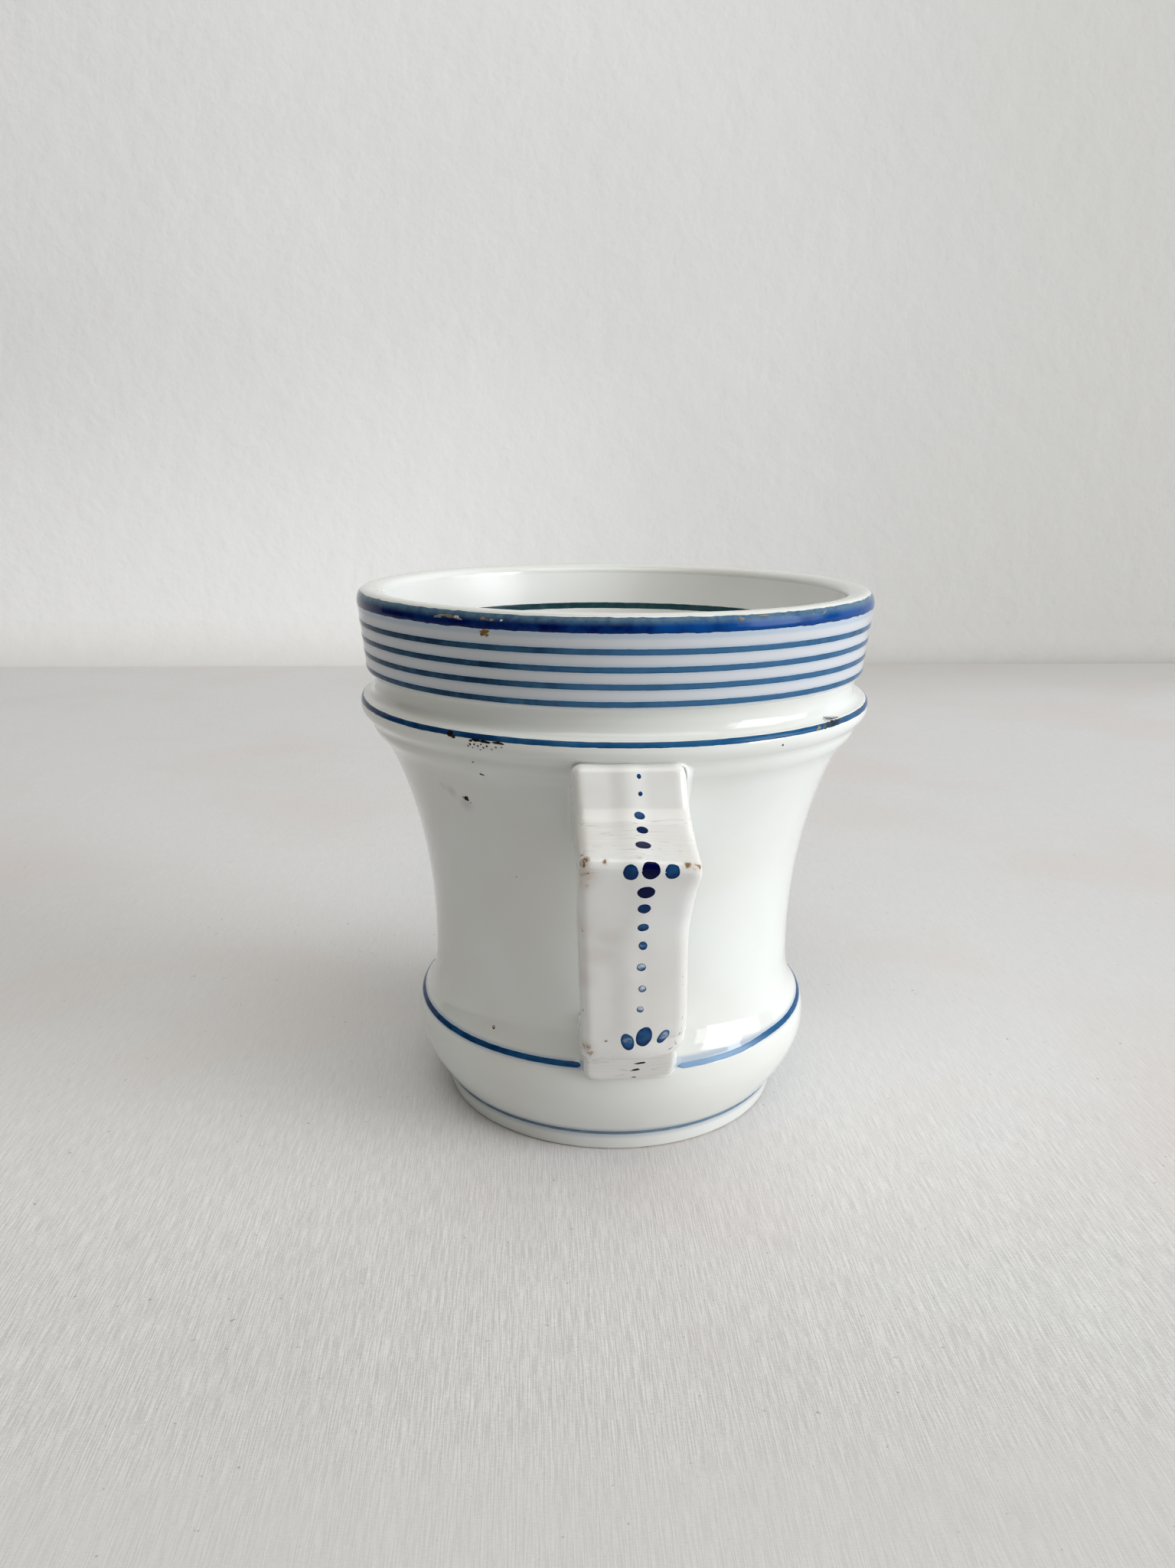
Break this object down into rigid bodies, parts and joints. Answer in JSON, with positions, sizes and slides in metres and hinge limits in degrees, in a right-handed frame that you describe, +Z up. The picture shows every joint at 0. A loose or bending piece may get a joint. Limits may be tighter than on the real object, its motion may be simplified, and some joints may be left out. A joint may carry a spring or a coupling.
{
  "type": "brulot cup",
  "caption": "Thick-walled porcelain coffee cup: flared body with a bulged foot, a projecting ring under a banded collar, and an angular strap handle.",
  "frame": {"origin": "centre of the bounding box's lowest face, on the surface that the cup stands on", "axes": "+Z up, parallel to the body's axis of revolution; the handle points to -Y and the body's axis stands behind the origin on +Y"},
  "size_m": [0.084, 0.097, 0.0873],
  "materials": {
    "body_porcelain": "clear gloss glaze over white porcelain",
    "handle_porcelain": "clear gloss glaze over white porcelain, worn brown along the elbow",
    "luting_slip": "clear gloss glaze over porcelain slip",
    "cobalt_enamel": "painted blue lines and dots, gloss"
  },
  "bodies": {
    "root": {"cup_body": "body_porcelain", "handle": "handle_porcelain", "heel_pad": "handle_porcelain", "upper_slip_joint": "luting_slip", "lower_slip_joint": "luting_slip"}
  },
  "joints": []
}
